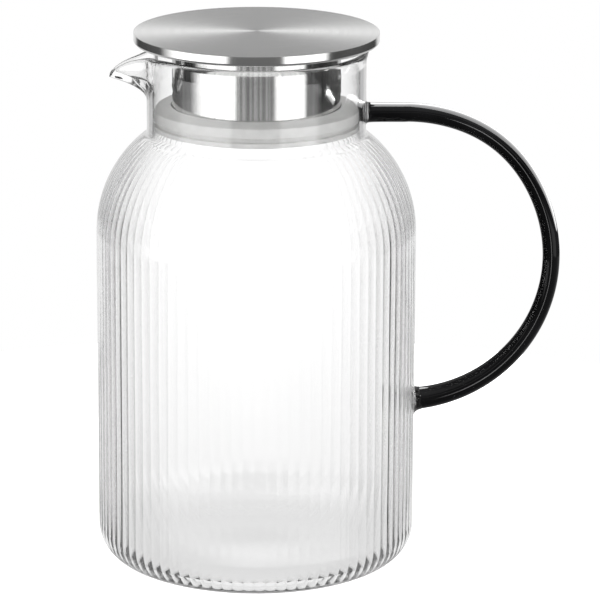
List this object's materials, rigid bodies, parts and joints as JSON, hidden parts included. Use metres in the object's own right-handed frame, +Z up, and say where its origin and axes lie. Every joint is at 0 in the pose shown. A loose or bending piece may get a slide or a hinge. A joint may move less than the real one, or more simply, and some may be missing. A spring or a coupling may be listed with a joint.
{
  "type": "glass pitcher with lid",
  "caption": "Ribbed clear glass pitcher with a pouring lip, a dark glass loop handle and a brushed steel stopper lid on a silicone seal.",
  "frame": {"origin": "on the pitcher's axis, at the plane of the foot ring that stands on the table", "axes": "+Z up along the pitcher's axis, +X towards the handle, -X towards the spout"},
  "size_m": [0.1886, 0.13, 0.2204],
  "materials": {
    "clear_glass": "clear polished borosilicate glass",
    "smoked_glass": "near-black polished glass rod",
    "brushed_steel": "stainless steel, spun brushing on top and upright brushing on the cup",
    "silicone": "translucent whitish silicone, satin"
  },
  "bodies": {
    "pitcher": {"glass_body": "clear_glass", "handle": "smoked_glass", "upper_handle_weld": "clear_glass", "lower_handle_weld": "clear_glass"},
    "seal": {"silicone_seal": "silicone"},
    "lid": {"lid_top_plate": "brushed_steel", "lid_cup": "brushed_steel"}
  },
  "joints": [
    {"name": "lid_lift", "type": "slide", "parent": "pitcher", "child": "seal", "axis": [0, 0, 1], "range_m": [0, 0.06]},
    {"name": "lid_turn", "type": "hinge", "parent": "seal", "child": "lid", "pos_m": [0, 0, 0.2], "axis": [0, 0, 1], "continuous": true}
  ]
}
